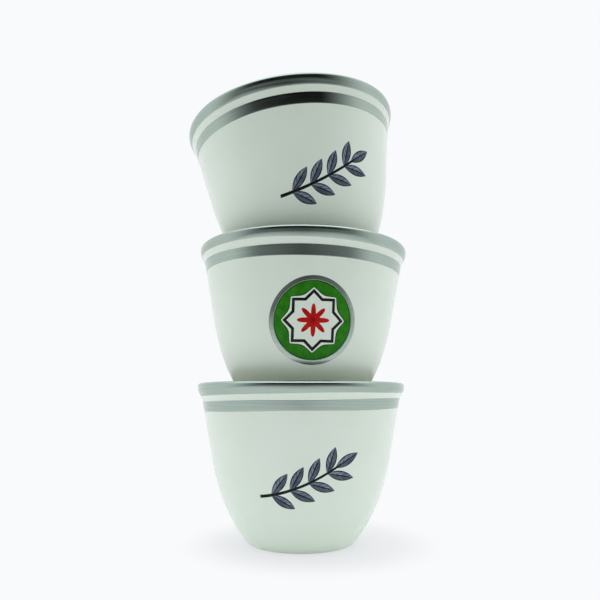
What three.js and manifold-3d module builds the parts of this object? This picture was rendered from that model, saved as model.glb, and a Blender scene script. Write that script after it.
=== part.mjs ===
// A stack of three alike handleless coffee cups, mouth to foot, with platinum bands and printed fronts.
// Millimetres, +Z up, the printed fronts face -Y.
import * as THREE from 'three';
import { mergeVertices } from 'three/addons/utils/BufferGeometryUtils.js';
import Module from 'manifold-3d';

const wasm = await Module();
wasm.setup();

// Cup shell
const cupHeight = 48.2;
const rimRadius = 32;
const neckRadius = 30.4; // where the wall starts to flare into the lip
const lipHeight = 5.6; // the flare, up to the rim
const bowlRadius = 27.5; // where the rounded bowl turns into the straight wall
const bowlHeight = 26.1;
const footRadius = 16.1;
const wall = 2.2;
const floorThickness = 2.6;
const floorFlat = 8; // radius of the level middle of the floor

// Curves of the shell: how far each end of a curve keeps its direction
const footSpread = 5.3; // outward over the first stretch of the bowl
const footRise = 5.7; // upward over the same stretch
const bowlEase = 11.4; // below the straight wall, outside
const floorSpread = 11;
const innerEase = 13; // below the straight wall, inside
const neckEase = 1.5;
const lipEase = 2.5;

// Foot ring
const footWidth = 2.8;
const footRecess = 1.8;
const footRound = 0.5;
const footDraft = 0.5;

// Platinum bands and prints lie in the glaze as thin films
const filmThickness = 0.25;
const filmGap = 0.12;
const lipBandHeight = 3.3;
const lipBandInside = 2.4; // down the inside of the rim
const bandSpacing = 1.7; // bare glaze between the two bands
const wallBandHeight = 3;

// Round medallion on the middle cup
const medallionRadius = 11.8;
const medallionHeight = 23.1;
const medallionFacing = 6; // degrees round from the front
const medallionRimWidth = 0.9;
const printGap = 0.35; // bare glaze between neighbouring prints
const borderWidth = 1.95;
const scallopDepth = 1.5;
const starWidth = 1.1;
const rosetteGap = 1.1; // from the petals to the star's inner corners
const rosetteWaist = 1.9;
const medallionFolds = 8;

// Leaf sprig on the top and bottom cups
const stemRun = 22;
const stemRise = 9;
const stemSag = 3;
const stemWidth = 0.9;
const leafLength = 7.4;
const leafWidth = 2.7;
const leafPairs = 4;
const leafAngle = 42; // degrees off the stem
const firstLeaves = 0.14; // shares of the way along the stem
const lastLeaves = 0.82;
const tipLeaf = 0.92;
const sprigHeight = 21.5;
const bottomSprigFacing = 0; // degrees round from the front
const topSprigFacing = 12; // degrees

// Cork plates carry each upper cup in the mouth of the cup below
const corkThickness = 5;
const seatClearance = 0.3;

// How each upper cup sits in the cup below: depth under the rim, shift off its axis, lean in degrees
const middleSeat = { depth: 7, x: 0.3, y: -2.7, leanX: -0.2, leanY: 0.5 };
const topSeat = { depth: 8.1, x: 2.1, y: -3.5, leanX: -1.7, leanY: -7.9 };

// Facets
const turns = 36;
const outerSteps = 8;
const innerSteps = 6;
const lipSteps = 2;
const rimSteps = 4;
const foldSteps = 6;
const leafSteps = 4;
const stemSteps = 12;
const halvings = 40;
const mergeDistance = 1e-4;

const porcelain = () => new THREE.MeshStandardMaterial({ color: 0xe4e9e3, roughness: 0.3, metalness: 0 });
const platinum = () => new THREE.MeshStandardMaterial({ color: 0xc3cac6, roughness: 0.22, metalness: 1 });
const print = (color) => new THREE.MeshStandardMaterial({ color, roughness: 0.4, metalness: 0 });
const cork = () => new THREE.MeshStandardMaterial({ color: 0xb98a58, roughness: 0.9, metalness: 0 });

// Heights that follow from the sizes above
const filmSeat = filmGap + filmThickness;
const lipRound = wall / 2;
const lipCentre = cupHeight - lipRound;
const neckHeight = cupHeight - lipHeight;
const floorTop = footRecess + floorThickness;
const lipBandLow = cupHeight - lipBandHeight;
const lipBandInsideLow = cupHeight - lipBandInside;
const wallBandHigh = lipBandLow - bandSpacing;
const wallBandLow = wallBandHigh - wallBandHeight;
const wallLean = (neckRadius - bowlRadius) / (neckHeight - bowlHeight);

const point = (x, y) => new THREE.Vector2(x, y);

// The outer wall in three stretches: rounded bowl, straight wall, flared lip
const bowlCurve = new THREE.CubicBezierCurve(
  point(footRadius, 0),
  point(footRadius + footSpread, footRise),
  point(bowlRadius - wallLean * bowlEase, bowlHeight - bowlEase),
  point(bowlRadius, bowlHeight),
);
const wallLine = new THREE.LineCurve(point(bowlRadius, bowlHeight), point(neckRadius, neckHeight));
const lipCurve = new THREE.CubicBezierCurve(
  point(neckRadius, neckHeight),
  point(neckRadius + wallLean * neckEase, neckHeight + neckEase),
  point(rimRadius, lipCentre - lipEase),
  point(rimRadius, lipCentre),
);
const innerBowlCurve = new THREE.CubicBezierCurve(
  point(bowlRadius - wall, bowlHeight),
  point(bowlRadius - wall - wallLean * innerEase, bowlHeight - innerEase),
  point(floorFlat + floorSpread, floorTop),
  point(floorFlat, floorTop),
);

// Radius of a rising curve at a height, found by halving
function radiusAt(curve, height) {
  let low = 0;
  let high = 1;
  for (let i = 0; i < halvings; i++) {
    const middle = (low + high) / 2;
    if (curve.getPoint(middle).y < height) low = middle;
    else high = middle;
  }
  return curve.getPoint((low + high) / 2).x;
}

function wallRadius(height) {
  if (height < bowlHeight) return radiusAt(bowlCurve, height);
  if (height < neckHeight) return radiusAt(wallLine, height);
  return radiusAt(lipCurve, height);
}

// Points of the wall between two heights, moved in from the outer face by an offset
function wallPoints(from, to, steps, offset = 0) {
  return Array.from({ length: steps + 1 }, (_, i) => {
    const height = from + ((to - from) * i) / steps;
    return point(wallRadius(height) - offset, height);
  });
}

// Half circle over the rim, from the outside to the inside
function rimPoints(radius) {
  const arc = new THREE.EllipseCurve(rimRadius - lipRound, lipCentre, radius, radius, 0, Math.PI);
  return arc.getPoints(rimSteps).slice(1, -1);
}

// Inside of the cup from a height below the rim down to the floor, drawn in by a clearance
function insidePoints(from, clearance = 0) {
  const bowl = innerBowlCurve.getPoints(innerSteps).map((p) => point(p.x - clearance, p.y));
  return [...wallPoints(from, neckHeight, lipSteps, wall + clearance), ...bowl, point(0, floorTop)];
}

// A turned solid about Z
function turned(outline) {
  const geometry = new THREE.LatheGeometry(outline, turns);
  return geometry.rotateX(Math.PI / 2);
}

function closed(outline) {
  return [...outline, outline[0].clone()];
}

// Shell of one cup, with shallow seats in the outer face for the two bands
function cupBody() {
  const ringInside = footRadius - footWidth;
  return turned([
    point(0, footRecess),
    point(ringInside - footDraft, footRecess),
    point(ringInside, 0),
    point(footRadius - footRound, 0),
    ...wallPoints(footRound, wallBandLow - filmGap, outerSteps),
    ...wallPoints(wallBandLow - filmGap, wallBandHigh + filmGap, 1, filmSeat),
    ...wallPoints(wallBandHigh + filmGap, lipBandLow - filmGap, 1),
    ...wallPoints(lipBandLow - filmGap, lipCentre, lipSteps, filmSeat),
    ...rimPoints(lipRound - filmSeat),
    ...wallPoints(lipCentre, lipBandInsideLow - filmGap, 1, wall - filmSeat),
    ...insidePoints(lipBandInsideLow - filmGap),
  ]);
}

// Band that wraps over the rim
function lipBand() {
  const outside = [
    ...wallPoints(lipBandLow, lipCentre, lipSteps),
    ...rimPoints(lipRound),
    ...wallPoints(lipCentre, lipBandInsideLow, 1, wall),
  ];
  const inside = [
    ...wallPoints(lipBandInsideLow, lipCentre, 1, wall - filmThickness),
    ...rimPoints(lipRound - filmThickness).reverse(),
    ...wallPoints(lipCentre, lipBandLow, lipSteps, filmThickness),
  ];
  return turned(closed([...outside, ...inside]));
}

function wallBand() {
  return turned(closed([
    ...wallPoints(wallBandLow, wallBandHigh, 1),
    ...wallPoints(wallBandHigh, wallBandLow, 1, filmThickness),
  ]));
}

// Thin layer over the wall from the foot up to the wall band, which the prints are cut from
function printLayer() {
  const high = wallBandLow - printGap;
  return turned(closed([
    ...wallPoints(footRound, high, outerSteps, -filmSeat),
    ...wallPoints(high, footRound, outerSteps, -filmGap),
  ]));
}

function solidOf(geometry) {
  const bare = geometry.clone();
  bare.deleteAttribute('normal');
  bare.deleteAttribute('uv');
  const merged = mergeVertices(bare, mergeDistance);
  return new wasm.Manifold(new wasm.Mesh({
    numProp: 3,
    vertProperties: Float32Array.from(merged.attributes.position.array),
    triVerts: Uint32Array.from(merged.index.array),
  }));
}

function geometryOf(solid) {
  const mesh = solid.getMesh();
  const geometry = new THREE.BufferGeometry();
  geometry.setAttribute('position', new THREE.BufferAttribute(mesh.vertProperties, 3));
  geometry.setIndex(new THREE.BufferAttribute(mesh.triVerts, 1));
  geometry.computeVertexNormals();
  return geometry;
}

// A flat shape pushed forward through the front of the cup, turned in its plane, its middle at a place there
function frontPrism(shape, place, angle = 0) {
  const push = { depth: 2 * rimRadius, bevelEnabled: false, curveSegments: leafSteps };
  const geometry = new THREE.ExtrudeGeometry(shape, push);
  return geometry.rotateZ(angle).translate(place.x, place.y, 0).rotateX(Math.PI / 2);
}

const layer = solidOf(printLayer());

// Print on a cup: the part of the layer that the shapes cover, turned round to where it faces
function printed(prisms, facing) {
  const area = prisms.map(solidOf).reduce((sum, prism) => sum.add(prism));
  return geometryOf(layer.intersect(area)).rotateZ(THREE.MathUtils.degToRad(facing));
}

// Closed outline whose distance from the middle follows the angle
function polarPoints(distance, steps) {
  return Array.from({ length: steps }, (_, i) => {
    const angle = (2 * Math.PI * i) / steps;
    return point(distance(angle, i) * Math.cos(angle), distance(angle, i) * Math.sin(angle));
  });
}

function ringShape(outer, inner) {
  const shape = new THREE.Shape(outer);
  shape.holes.push(new THREE.Path(inner));
  return shape;
}

// Radii of the medallion's rings, from the rim inwards
const circleSteps = medallionFolds * foldSteps;
const borderOuter = medallionRadius - medallionRimWidth - printGap;
const borderInner = borderOuter - borderWidth;
const starRadius = borderInner - printGap;
const starNotch = Math.cos(Math.PI / 4) / Math.cos(Math.PI / medallionFolds); // two squares laid crosswise
const rosetteRadius = (starRadius - starWidth) * starNotch - rosetteGap;

function circle(radius) {
  return polarPoints(() => radius, circleSteps);
}

// Tips and notches in turn
function starPoints(radius) {
  return polarPoints((_, i) => (i % 2 ? radius * starNotch : radius), 2 * medallionFolds);
}

function medallionPrint(shape) {
  return printed([frontPrism(shape, point(0, medallionHeight))], medallionFacing);
}

function medallionRim() {
  return medallionPrint(ringShape(circle(medallionRadius), circle(medallionRadius - medallionRimWidth)));
}

// Ring whose inner edge is drawn in round lobes between the star's tips
function medallionBorder() {
  const lobes = polarPoints(
    (angle) => borderInner - scallopDepth * Math.abs(Math.sin((medallionFolds * angle) / 2)),
    circleSteps,
  );
  return medallionPrint(ringShape(circle(borderOuter), lobes));
}

function medallionStar() {
  return medallionPrint(ringShape(starPoints(starRadius), starPoints(starRadius - starWidth)));
}

function medallionRosette() {
  const middle = (rosetteRadius + rosetteWaist) / 2;
  const swing = (rosetteRadius - rosetteWaist) / 2;
  const petals = polarPoints((angle) => middle + swing * Math.cos(medallionFolds * angle), circleSteps);
  return medallionPrint(new THREE.Shape(petals));
}

// Pointed leaf along +X from its foot
function leafShape() {
  const shape = new THREE.Shape();
  shape.moveTo(0, 0);
  shape.quadraticCurveTo(leafLength / 2, leafWidth, leafLength, 0);
  shape.quadraticCurveTo(leafLength / 2, -leafWidth, 0, 0);
  return shape;
}

// Stem that rises to the right in a shallow sag, with leaves in pairs and one at the tip
function sprig(facing) {
  const stem = new THREE.QuadraticBezierCurve(
    point(-stemRun / 2, sprigHeight - stemRise / 2),
    point(0, sprigHeight - stemSag),
    point(stemRun / 2, sprigHeight + stemRise / 2),
  );
  const edge = (side) => stem.getPoints(stemSteps).map((p) => point(p.x, p.y + (side * stemWidth) / 2));
  const leaf = (along, turn) => {
    const foot = stem.getPoint(along);
    const heading = Math.atan2(stem.getTangent(along).y, stem.getTangent(along).x) + turn;
    return frontPrism(leafShape(), foot, heading);
  };
  const prisms = [frontPrism(new THREE.Shape([...edge(-1), ...edge(1).reverse()]), point(0, 0))];
  const spread = THREE.MathUtils.degToRad(leafAngle);
  for (let pair = 0; pair < leafPairs; pair++) {
    const along = firstLeaves + ((lastLeaves - firstLeaves) * pair) / (leafPairs - 1);
    prisms.push(leaf(along, spread));
    prisms.push(leaf(along, -spread));
  }
  prisms.push(leaf(tipLeaf, 0));
  return printed(prisms, facing);
}

// Cork plate: the inside of the cup below, less a clearance, cut level with the foot that stands on it
function corkPlate(seat) {
  const inside = turned([...insidePoints(lipCentre, seatClearance).reverse(), point(0, lipCentre)]);
  const slab = new THREE.BoxGeometry(4 * rimRadius, 4 * rimRadius, corkThickness);
  slab.translate(0, 0, -seatClearance - corkThickness / 2);
  slab.applyMatrix4(cupGroup(seat).matrix);
  return geometryOf(solidOf(inside).intersect(solidOf(slab)));
}

// Group for a cup that stands in the mouth of the cup below
function cupGroup(seat) {
  const group = new THREE.Group();
  const { degToRad } = THREE.MathUtils;
  group.position.set(seat.x, seat.y, cupHeight - seat.depth);
  group.rotation.set(degToRad(seat.leanX), degToRad(seat.leanY), 0, 'YXZ');
  group.updateMatrix();
  return group;
}

function mesh(name, geometry, material) {
  const piece = new THREE.Mesh(geometry, material);
  piece.name = name;
  return piece;
}

// Shell and bands, the same on all three cups
function addCup(group, place) {
  group.add(mesh(`${place}_cup_body`, cupBody(), porcelain()));
  group.add(mesh(`${place}_lip_band`, lipBand(), platinum()));
  group.add(mesh(`${place}_wall_band`, wallBand(), platinum()));
}

const bottomCup = new THREE.Group();
const middleCup = cupGroup(middleSeat);
const topCup = cupGroup(topSeat);

addCup(bottomCup, 'bottom');
bottomCup.add(mesh('bottom_sprig', sprig(bottomSprigFacing), print(0x66758c)));
bottomCup.add(mesh('lower_cork', corkPlate(middleSeat), cork()));
bottomCup.add(middleCup);

addCup(middleCup, 'middle');
middleCup.add(mesh('medallion_rim', medallionRim(), platinum()));
middleCup.add(mesh('medallion_border', medallionBorder(), print(0x1f6a12)));
middleCup.add(mesh('medallion_star', medallionStar(), print(0x111413)));
middleCup.add(mesh('medallion_rosette', medallionRosette(), print(0x960b08)));
middleCup.add(mesh('upper_cork', corkPlate(topSeat), cork()));
middleCup.add(topCup);

addCup(topCup, 'top');
topCup.add(mesh('top_sprig', sprig(topSprigFacing), print(0x66758c)));

// The origin is the middle of the stack's footprint, on the surface it stands on
const stack = new THREE.Group();
stack.add(bottomCup);
stack.updateMatrixWorld(true);
const middle = new THREE.Box3().setFromObject(stack, true).getCenter(new THREE.Vector3());
bottomCup.position.set(-middle.x, -middle.y, 0);

export default stack;
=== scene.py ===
import bpy
import numpy as np
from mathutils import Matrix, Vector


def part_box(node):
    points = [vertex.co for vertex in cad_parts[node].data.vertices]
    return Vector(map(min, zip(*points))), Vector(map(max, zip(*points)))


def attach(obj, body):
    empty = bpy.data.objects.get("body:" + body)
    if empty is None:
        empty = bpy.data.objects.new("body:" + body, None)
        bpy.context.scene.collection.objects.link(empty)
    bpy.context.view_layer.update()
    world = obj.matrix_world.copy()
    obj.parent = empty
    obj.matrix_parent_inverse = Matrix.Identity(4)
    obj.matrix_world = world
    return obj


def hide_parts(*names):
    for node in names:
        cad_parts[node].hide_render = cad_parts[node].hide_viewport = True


# Three handleless coffee cups standing in each other's mouths, with platinum bands and printed fronts.
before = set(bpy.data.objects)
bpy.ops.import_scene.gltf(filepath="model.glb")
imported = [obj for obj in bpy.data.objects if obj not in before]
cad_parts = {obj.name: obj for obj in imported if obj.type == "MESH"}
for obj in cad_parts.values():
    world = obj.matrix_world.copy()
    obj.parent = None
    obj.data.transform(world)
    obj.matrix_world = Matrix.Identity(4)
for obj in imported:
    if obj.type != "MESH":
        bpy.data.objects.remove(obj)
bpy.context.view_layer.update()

mm = 0.001  # shapes are worked out in millimetres

# Shell of one cup, the same on all three
cup = {
    "height": 48.2,
    "rimRadius": 32.0,
    "neckRadius": 30.4,  # where the wall starts to flare into the lip
    "lipHeight": 5.6,
    "bowlRadius": 27.5,  # where the rounded bowl turns into the straight wall
    "bowlHeight": 26.1,
    "footRadius": 16.1,
    "wall": 2.2,
    "floorThickness": 2.6,
    "floorFlat": 8.0,
    "footSpread": 5.3,
    "footRise": 5.7,
    "bowlEase": 11.4,
    "floorSpread": 11.0,
    "innerEase": 13.0,
    "neckEase": 1.5,
    "lipEase": 1.75,
    "footWidth": 2.8,
    "footRecess": 1.8,
    "footDraft": 0.5,
    "footSoftness": 0.6,  # how far the foot's corners are rounded
    "draftShares": (0.7, 0.4),  # shares of the draft where the recess's soft corners end and start
    "footFlare": 0.1,
    "baseMiddle": 1.5,  # the underside closes in a fan from this radius
    "floorMiddle": 1.0,  # and so does the floor inside
    "bareHeight": 0.2,  # the foot ring is bare clay about this far up
    "bareEdge": 1.3,
    "bareInside": 1.0,  # and this far into the recess
    "glazeStep": 0.04,  # bands and prints stand this far above the glaze
    "glazeFrom": (1.0, 3.0),  # heights between which that step grows
    "turns": 224,
}
# Points along each run of the cup's outline
pointCounts = {
    "bowl": 64, "wall": 24, "lip": 30, "rim": 21, "inside": 44, "floor": 8,
    "foot": (10, 6, 7, 5, 7),  # recess, its two corners, ground, outer corner
}

# How each upper cup sits in the cup below: depth under the rim, shift off its axis, lean in degrees
seats = {
    "middle": {"depth": 7.0, "x": 0.3, "y": -2.7, "leanX": -0.2, "leanY": 0.5},
    "top": {"depth": 8.1, "x": 2.1, "y": -3.5, "leanX": -1.7, "leanY": -7.9},
}


# straight run: a plus t times the way from a to b
def straight(a, b, count):
    t = np.linspace(0, 1, count)[:, None]
    return np.array(a) + t * (np.array(b) - np.array(a))


# soft corner: a, b, c weighted by (1-t)^2, 2t(1-t), t^2
def softCorner(a, b, c, count):
    t = np.linspace(0, 1, count)[:, None]
    return (1 - t) ** 2 * np.array(a) + 2 * t * (1 - t) * np.array(b) + t ** 2 * np.array(c)


# cubic sweep: four points weighted by (1-t)^3, 3t(1-t)^2, 3t^2(1-t), t^3
def sweep(a, b, c, d, count):
    t = np.linspace(0, 1, count)[:, None]
    ends = (1 - t) ** 3 * np.array(a) + t ** 3 * np.array(d)
    return ends + 3 * t * (1 - t) ** 2 * np.array(b) + 3 * t ** 2 * (1 - t) * np.array(c)


# runs joined end to end, without the doubled point at each join
def joined(*runs):
    return np.concatenate([runs[0]] + [run[1:] for run in runs[1:]])


neckHeight = cup["height"] - cup["lipHeight"]
lipRound = cup["wall"] / 2
lipCentre = cup["height"] - lipRound
floorTop = cup["footRecess"] + cup["floorThickness"]
wallLean = (cup["neckRadius"] - cup["bowlRadius"]) / (neckHeight - cup["bowlHeight"])
ringInside = cup["footRadius"] - cup["footWidth"]

# Outside of the wall as radius and height: rounded bowl, straight wall, flared lip
outerWall = joined(
    sweep(
        (cup["footRadius"], 0),
        (cup["footRadius"] + cup["footSpread"], cup["footRise"]),
        (cup["bowlRadius"] - wallLean * cup["bowlEase"], cup["bowlHeight"] - cup["bowlEase"]),
        (cup["bowlRadius"], cup["bowlHeight"]),
        pointCounts["bowl"],
    ),
    straight((cup["bowlRadius"], cup["bowlHeight"]), (cup["neckRadius"], neckHeight), pointCounts["wall"]),
    sweep(
        (cup["neckRadius"], neckHeight),
        (cup["neckRadius"] + wallLean * cup["neckEase"], neckHeight + cup["neckEase"]),
        (cup["rimRadius"], lipCentre - cup["lipEase"]),
        (cup["rimRadius"], lipCentre),
        pointCounts["lip"],
    ),
)
rimTurn = np.linspace(0, np.pi, pointCounts["rim"])
rimArc = np.stack(
    [cup["rimRadius"] - lipRound + lipRound * np.cos(rimTurn), lipCentre + lipRound * np.sin(rimTurn)], 1
)
upperWall = outerWall[outerWall[:, 1] >= cup["bowlHeight"]]
innerBowl = sweep(
    (cup["bowlRadius"] - cup["wall"], cup["bowlHeight"]),
    (cup["bowlRadius"] - cup["wall"] - wallLean * cup["innerEase"], cup["bowlHeight"] - cup["innerEase"]),
    (cup["floorFlat"] + cup["floorSpread"], floorTop),
    (cup["floorFlat"], floorTop),
    pointCounts["inside"],
)
innerWall = joined(upperWall[::-1] - (cup["wall"], 0), innerBowl)


# outline of the whole shell: under the foot, up the outside, over the rim, down to the middle of the floor
def shellOutline():
    soft, recess, draft = cup["footSoftness"], cup["footRecess"], cup["footDraft"]
    highShare, lowShare = cup["draftShares"]
    under, corner, ring, ground, outer = pointCounts["foot"]
    startsAt = np.searchsorted(outerWall[:, 1], soft)
    foot = joined(
        straight((cup["baseMiddle"], recess), (ringInside - draft - soft, recess), under),
        softCorner(
            (ringInside - draft - soft, recess),
            (ringInside - draft, recess),
            (ringInside - draft * highShare, recess - soft),
            corner,
        ),
        softCorner((ringInside - draft * lowShare, soft), (ringInside, 0), (ringInside + soft, 0), ring),
        straight((ringInside + soft, 0), (cup["footRadius"] - soft, 0), ground),
        softCorner(
            (cup["footRadius"] - soft, 0),
            (cup["footRadius"] + cup["footFlare"], 0),
            outerWall[startsAt],
            outer,
        ),
    )
    floor = straight((cup["floorFlat"], floorTop), (cup["floorMiddle"], floorTop), pointCounts["floor"])
    return joined(foot, outerWall[startsAt:], rimArc, innerWall, floor)


# length run along an outline up to each of its points
def runLength(outline):
    return np.concatenate([[0], np.cumsum(np.hypot(*np.diff(outline, axis=0).T))])


# direction square to the outline, away from the clay: the tangent (dr, dz) turned to (dz, -dr)
def outlineNormals(outline):
    tangent = np.gradient(outline, runLength(outline), axis=0)
    tangent /= np.linalg.norm(tangent, axis=1)[:, None]
    return np.stack([tangent[:, 1], -tangent[:, 0]], 1)


shell = shellOutline()
glazeLow, glazeHigh = cup["glazeFrom"]
drawnIn = np.clip((shell[:, 1] - glazeLow) / (glazeHigh - glazeLow), 0, 1)[:, None] * cup["glazeStep"]
glaze = shell - outlineNormals(shell) * drawnIn  # surface of the glaze, just under the bands and prints
glazeNormals = outlineNormals(glaze)
glazeRun = runLength(glaze)
rimTop = int(np.argmax(glaze[:, 1]))
footRim = int(np.argmax(glaze[:, 1] > glazeLow))  # first point above the foot
outside = slice(footRim, rimTop)


# 4 x 4 matrix that shifts by a step and leans by Y after X, in degrees
def placeMatrix(x, y, z, leanX=0.0, leanY=0.0):
    a, b = np.radians([leanX, leanY])
    aboutX = np.array([[1, 0, 0], [0, np.cos(a), -np.sin(a)], [0, np.sin(a), np.cos(a)]])
    aboutY = np.array([[np.cos(b), 0, np.sin(b)], [0, 1, 0], [-np.sin(b), 0, np.cos(b)]])
    matrix = np.eye(4)
    matrix[:3, :3] = aboutY @ aboutX
    matrix[:3, 3] = x, y, z
    return matrix


# place of an upper cup in the one below: its foot is a depth under the rim
def seatMatrix(seat):
    return placeMatrix(seat["x"], seat["y"], cup["height"] - seat["depth"], seat["leanX"], seat["leanY"])


low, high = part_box("bottom_cup_body")
axisX, axisY = [(low[i] + high[i]) / 2 / mm for i in range(2)]
places = {"bottom": placeMatrix(axisX, axisY, 0)}
places["middle"] = places["bottom"] @ seatMatrix(seats["middle"])
places["top"] = places["middle"] @ seatMatrix(seats["top"])


# closed skin over a grid: each point joins the next in its row, which closes, and the next row;
# the rows close on themselves too, or end in a fan to the middle of the first and last row
def skin(grid, ringShut, across=None):
    rows, columns = grid.shape[:2]
    index = np.arange(rows * columns).reshape(rows, columns)
    beside = np.roll(index, -1, 1)
    above = np.roll(index, -1, 0)
    corner = np.roll(beside, -1, 0)
    used = rows if ringShut else rows - 1
    quads = np.stack([index, beside, corner, above], 2)[:used].reshape(-1, 4)
    points = grid.reshape(-1, 3)
    uv = np.zeros((len(points), 2)) if across is None else across.reshape(-1, 2)
    fans = np.zeros((0, 3), int)
    if not ringShut:
        first, last = len(points), len(points) + 1
        points = np.concatenate([points, grid[[0, -1]].mean(1)])
        uv = np.concatenate([uv, uv.reshape(-1, columns, 2)[[0, -1]].mean(1)])
        fans = np.concatenate([
            np.stack([np.full(columns, first), beside[0], index[0]], 1),
            np.stack([np.full(columns, last), index[-1], beside[-1]], 1),
        ])
    return points, quads, fans, uv


# six times the volume inside the faces: the sum over triangles of a . (b x c)
def signedVolume(points, quads, fans):
    triangles = np.concatenate([quads[:, [0, 1, 2]], quads[:, [0, 2, 3]], fans])
    a, b, c = (points[triangles[:, i]] for i in range(3))
    return np.einsum("ij,ij->", a, np.cross(b, c))


# one object from closed skins, set in its place; "cupPoint" keeps each point's place on its own cup
def addPiece(name, skins, place, finish, body, node, marks=None):
    allPoints, allFaces, allUv, count = [], [], [], 0
    for points, quads, fans, uv in skins:
        turn = 1 if signedVolume(points, quads, fans) > 0 else -1
        allFaces += (quads[:, ::turn] + count).tolist() + (fans[:, ::turn] + count).tolist()
        allPoints.append(points)
        allUv.append(uv)
        count += len(points)
    points = np.concatenate(allPoints)
    uv = np.concatenate(allUv)
    world = (points @ place[:3, :3].T + place[:3, 3]) * mm
    mesh = bpy.data.meshes.new(name)
    mesh.from_pydata(world.tolist(), [], allFaces)
    mesh.polygons.foreach_set("use_smooth", np.ones(len(mesh.polygons), bool))
    mesh.attributes.new("cupPoint", "FLOAT_VECTOR", "POINT").data.foreach_set("vector", points.ravel())
    for key, values in (marks or {}).items():
        mesh.attributes.new(key, "FLOAT", "POINT").data.foreach_set("value", values.ravel())
    corners = np.empty(len(mesh.loops), np.int32)
    mesh.loops.foreach_get("vertex_index", corners)
    mesh.uv_layers.new(name="layout").data.foreach_set("uv", uv[corners].ravel())
    mesh.materials.append(finish)
    mesh.validate()
    piece = bpy.data.objects.new(name, mesh)
    bpy.context.scene.collection.objects.link(piece)
    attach(piece, body)
    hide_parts(node)


turnAngles = np.linspace(0, 2 * np.pi, cup["turns"], endpoint=False)


# points turned about the cup's axis: radius r and height z at each angle
def turned(r, z, angles=turnAngles):
    return np.stack([r * np.cos(angles), r * np.sin(angles), z + 0 * angles], -1)


# shader node with its settings; each input is a value or another node's output
def addNode(tree, kind, inputs=None, **settings):
    made = tree.nodes.new(kind)
    for key, value in settings.items():
        setattr(made, key, value)
    for key, value in (inputs or {}).items():
        if isinstance(value, bpy.types.NodeSocket):
            tree.links.new(value, made.inputs[key])
        else:
            made.inputs[key].default_value = value
    return made


# colour a at share 0, b at share 1
def mixColour(tree, share, a, b):
    made = addNode(tree, "ShaderNodeMix", {0: share, 6: a, 7: b}, data_type="RGBA")
    return made.outputs[2]


# one sum on two or three values
def mathNode(tree, operation, a, b=0.0, c=0.0):
    return addNode(tree, "ShaderNodeMath", {0: a, 1: b, 2: c}, operation=operation).outputs[0]


# value carried from one range to another along the smooth step 3 t^2 - 2 t^3, and held at its ends
def rangeNode(tree, value, fromLow, fromHigh, toLow=0.0, toHigh=1.0):
    limits = {"From Min": fromLow, "From Max": fromHigh, "To Min": toLow, "To Max": toHigh}
    made = addNode(tree, "ShaderNodeMapRange", {"Value": value, **limits}, interpolation_type="SMOOTHSTEP")
    return made.outputs["Result"]


# what a mesh keeps at each point under a name
def attributeNode(tree, name):
    return addNode(tree, "ShaderNodeAttribute", attribute_name=name).outputs


# one of a vector's three values
def partOf(tree, vector, index):
    return addNode(tree, "ShaderNodeSeparateXYZ", {0: vector}).outputs[index]


# noise at a scale for each unit of the place, with detail octaves of half the size and strength
def noiseNode(tree, place, scale, detail):
    return addNode(tree, "ShaderNodeTexNoise", {"Vector": place, "Scale": scale, "Detail": detail}).outputs


# Fired surface, shared by all finishes
firedLook = {
    "cloudDetail": 4.0,
    "cloudSpread": (0.3, 0.7),
    "rippleDetail": 2.0,
    "speckless": 0.72,  # share of cells without a speck
}
firedScales = ("Cloud Scale", "Ripple Scale", "Speck Scale", "Speck Size")


# slow clouds, fine ripple and sparse specks of a fired surface, all on the cup's own millimetres
def firedSurfaceGroup():
    tree = bpy.data.node_groups.new("firedSurface", "ShaderNodeTree")
    face = tree.interface
    face.new_socket("Place", in_out="INPUT", socket_type="NodeSocketVector")
    for name in firedScales:
        face.new_socket(name, in_out="INPUT", socket_type="NodeSocketFloat")
    for name in ("Clouds", "Ripple", "Specks"):
        face.new_socket(name, in_out="OUTPUT", socket_type="NodeSocketFloat")
    given = addNode(tree, "NodeGroupInput").outputs
    clouds = noiseNode(tree, given["Place"], given["Cloud Scale"], firedLook["cloudDetail"])[0]
    ripple = noiseNode(tree, given["Place"], given["Ripple Scale"], firedLook["rippleDetail"])[0]
    speckCells = {"Vector": given["Place"], "Scale": given["Speck Scale"]}
    cells = addNode(tree, "ShaderNodeTexVoronoi", speckCells).outputs
    chance = addNode(tree, "ShaderNodeSeparateColor", {"Color": cells["Color"]}).outputs[0]
    rare = mathNode(tree, "GREATER_THAN", chance, firedLook["speckless"])
    near = rangeNode(tree, cells["Distance"], 0.0, given["Speck Size"], 1.0, 0.0)
    specks = mathNode(tree, "MULTIPLY", rare, near)
    spread = rangeNode(tree, clouds, *firedLook["cloudSpread"])
    addNode(tree, "NodeGroupOutput", {"Clouds": spread, "Ripple": ripple, "Specks": specks})
    return tree


firedSurface = firedSurfaceGroup()


# the fired surface in a finish, with that finish's own scales for each millimetre
def firedNode(tree, place, scales):
    inputs = {"Place": place, **dict(zip(firedScales, scales))}
    return addNode(tree, "ShaderNodeGroup", inputs, node_tree=firedSurface).outputs


# material with a few values set on its shader
def newFinish(name, settings):
    finish = bpy.data.materials.new(name)
    finish.use_nodes = True
    tree = finish.node_tree
    surface = tree.nodes["Principled BSDF"]
    for key, value in settings.items():
        surface.inputs[key].default_value = value
    return finish, tree, surface


# relief on a finish, its depth in metres
def bumped(tree, surface, height, strength, distance):
    bump = addNode(tree, "ShaderNodeBump", {"Height": height, "Strength": strength, "Distance": distance})
    tree.links.new(bump.outputs[0], surface.inputs["Normal"])


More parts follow.
